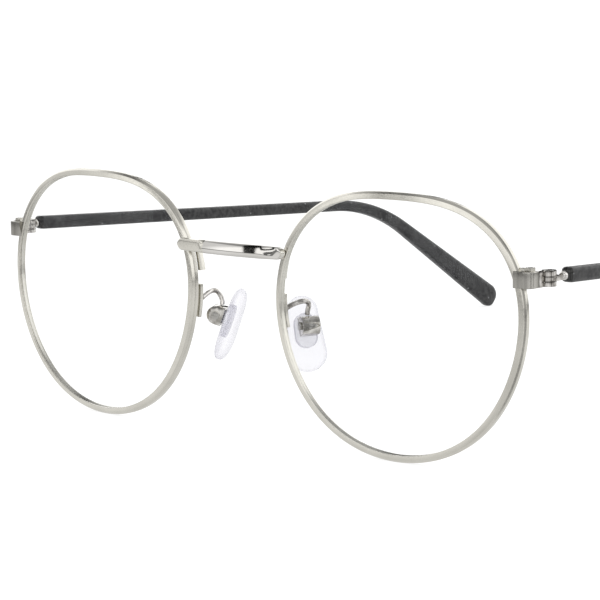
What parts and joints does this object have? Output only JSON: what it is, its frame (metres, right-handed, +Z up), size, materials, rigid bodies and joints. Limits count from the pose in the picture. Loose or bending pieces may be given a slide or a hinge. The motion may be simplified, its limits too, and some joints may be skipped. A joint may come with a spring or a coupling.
{
  "type": "round wire eyeglasses",
  "caption": "Round metal-wire eyeglasses with clear lenses, a straight bridge, rocking clear nose pads and folding temples in dark plastic sleeves.",
  "frame": {"origin": "on the floor under the middle of the box around the glasses, which stand on the rims and the temple tips with the temples open", "axes": "+Z up, +X towards the wearer's left, +Y from the lenses back along the open temples"},
  "size_m": [0.1304, 0.1576, 0.0467],
  "materials": {
    "satin_metal": "satin silver-grey metal",
    "polished_metal": "polished silver metal",
    "screw_metal": "turned steel",
    "temple_plastic": "satin charcoal plastic with a fine fleck",
    "clear_lens": "clear, polished",
    "clear_pad": "clear silicone, faintly violet",
    "frosted_core": "frosted clear plastic"
  },
  "bodies": {
    "front": {"rim_left": "satin_metal", "rim_right": "satin_metal", "end_piece_left": "satin_metal", "end_piece_right": "satin_metal", "closing_block_upper_left": "satin_metal", "closing_block_upper_right": "satin_metal", "closing_block_lower_left": "satin_metal", "closing_block_lower_right": "satin_metal", "pad_arm_plate_left": "satin_metal", "pad_arm_plate_right": "satin_metal", "bridge": "polished_metal", "front_hinge_left": "polished_metal", "front_hinge_right": "polished_metal", "pad_arm_left": "polished_metal", "pad_arm_right": "polished_metal", "pad_box_left": "polished_metal", "pad_box_right": "polished_metal", "closing_screw_left": "screw_metal", "closing_screw_right": "screw_metal", "hinge_screw_left": "screw_metal", "hinge_screw_right": "screw_metal", "pad_screw_left": "screw_metal", "pad_screw_right": "screw_metal", "lens_left": "clear_lens", "lens_right": "clear_lens"},
    "temple_left": {"temple_hinge_left": "polished_metal", "temple_core_left": "polished_metal", "temple_ferrule_left": "polished_metal", "temple_sleeve_left": "temple_plastic"},
    "pad_left": {"pad_core_left": "frosted_core", "nose_pad_left": "clear_pad"},
    "temple_right": {"temple_hinge_right": "polished_metal", "temple_core_right": "polished_metal", "temple_ferrule_right": "polished_metal", "temple_sleeve_right": "temple_plastic"},
    "pad_right": {"pad_core_right": "frosted_core", "nose_pad_right": "clear_pad"}
  },
  "joints": [
    {"name": "temple_fold_left", "type": "hinge", "parent": "front", "child": "temple_left", "pos_m": [0.063, -0.06873, 0.03347], "axis": [0, 0, 1], "range_deg": [0, 88]},
    {"name": "temple_fold_right", "type": "hinge", "parent": "front", "child": "temple_right", "pos_m": [-0.063, -0.06873, 0.03347], "axis": [0, 0, -1], "range_deg": [0, 84]},
    {"name": "pad_rock_left", "type": "hinge", "parent": "front", "child": "pad_left", "pos_m": [0.01125, -0.06968, 0.0207], "axis": [0.5, 0.866, 0], "range_deg": [-10, 10]},
    {"name": "pad_rock_right", "type": "hinge", "parent": "front", "child": "pad_right", "pos_m": [-0.01125, -0.06968, 0.0207], "axis": [-0.5, 0.866, 0], "range_deg": [-10, 10]}
  ]
}
